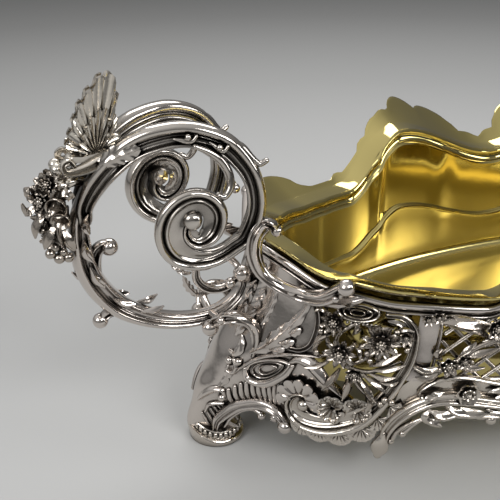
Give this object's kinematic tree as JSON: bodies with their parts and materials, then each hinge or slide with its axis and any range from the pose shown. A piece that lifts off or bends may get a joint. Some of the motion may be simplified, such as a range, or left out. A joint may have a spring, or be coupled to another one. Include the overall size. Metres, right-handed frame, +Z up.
{
  "type": "jardiniere",
  "caption": "Oval silver table jardiniere on scroll feet, with scroll and shell handles, flower and trellis panels and a lift-out gilt liner.",
  "frame": {"origin": "on the table under the middle of the bowl", "axes": "+X along the bowl through both handles, -Y the front, +Z up"},
  "size_m": [0.655, 0.272, 0.2152],
  "materials": {
    "silver": "polished sterling silver with toned recesses",
    "oxidised_silver": "cast and chased silver, darkened in the ground",
    "gilt": "polished gilt"
  },
  "bodies": {
    "jardiniere": {"rim_moulding": "silver", "fluted_skirt_front_left": "silver", "fluted_skirt_front_right": "silver", "fluted_skirt_back_left": "silver", "fluted_skirt_back_right": "silver", "pilaster_front_left": "silver", "pilaster_front_right": "silver", "pilaster_back_left": "silver", "pilaster_back_right": "silver", "trellis_front_left": "oxidised_silver", "trellis_front_right": "oxidised_silver", "trellis_back_left": "oxidised_silver", "trellis_back_right": "oxidised_silver", "scroll_frame_front_left": "silver", "scroll_frame_front_right": "silver", "scroll_frame_back_left": "silver", "scroll_frame_back_right": "silver", "flower_spray_front_left": "oxidised_silver", "flower_spray_front_right": "oxidised_silver", "flower_spray_back_left": "oxidised_silver", "flower_spray_back_right": "oxidised_silver", "garland_front_left": "oxidised_silver", "garland_front_right": "oxidised_silver", "garland_back_left": "oxidised_silver", "garland_back_right": "oxidised_silver", "apron_scroll_front_left": "silver", "apron_scroll_front_right": "silver", "apron_scroll_back_left": "silver", "apron_scroll_back_right": "silver", "handle_arm_front_left": "silver", "handle_arm_front_right": "silver", "handle_arm_back_left": "silver", "handle_arm_back_right": "silver", "handle_bracket_front_left": "silver", "handle_bracket_front_right": "silver", "handle_bracket_back_left": "silver", "handle_bracket_back_right": "silver", "end_shell_left": "silver", "end_shell_right": "silver", "centre_panel_front": "silver", "centre_panel_back": "silver", "foot_left": "silver", "foot_right": "silver", "foot_front": "silver", "foot_back": "silver", "foot_pad_left": "silver", "foot_pad_right": "silver", "foot_pad_front": "silver", "foot_pad_back": "silver", "handle_lower_left": "silver", "handle_lower_right": "silver", "handle_shell_left": "silver", "handle_shell_right": "silver", "handle_flowers_left": "oxidised_silver", "handle_flowers_right": "oxidised_silver"},
    "liner": {"liner_pan": "gilt", "liner_lip": "gilt"}
  },
  "joints": [
    {"name": "liner_lift", "type": "slide", "parent": "jardiniere", "child": "liner", "axis": [0, 0, 1], "range_m": [0, 0.16]}
  ]
}
